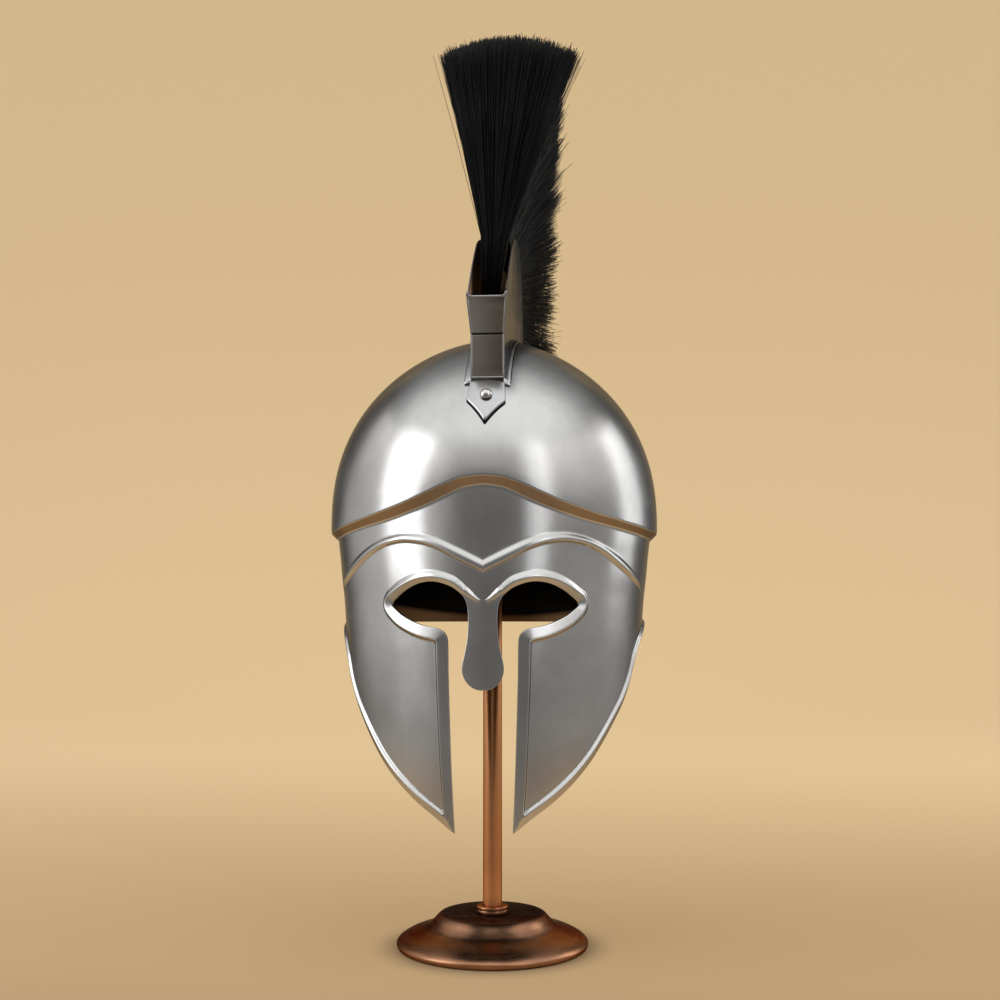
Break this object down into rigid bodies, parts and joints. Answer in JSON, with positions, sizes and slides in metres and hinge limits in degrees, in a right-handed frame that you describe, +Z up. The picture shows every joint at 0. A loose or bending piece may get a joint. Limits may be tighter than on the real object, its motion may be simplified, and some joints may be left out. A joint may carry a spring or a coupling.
{
  "type": "crested greek helmet on a round stand",
  "caption": "Polished steel full-face greek helmet with brow ridges, nose guard and cheek guards, a black hair crest in a steel box, and a copper-finished rod stand.",
  "frame": {"origin": "centre of the stand's flat underside", "axes": "+Z up along the rod, -Y the way the face looks, +X toward the wearer's left"},
  "size_m": [0.2256, 0.3017, 0.6108],
  "materials": {
    "steel": "polished with fine brushing",
    "hair": "matte black hair",
    "copper": "antique copper, dark brown in the hollows"
  },
  "bodies": {
    "root": {"helmet_shell": "steel", "crest_holder": "steel", "crest_rivet_front": "steel", "crest_rivet_rear": "steel", "plume": "hair", "stand_base": "copper", "stand_collar": "copper", "stand_pole": "copper", "stand_rest": "copper"}
  },
  "joints": []
}
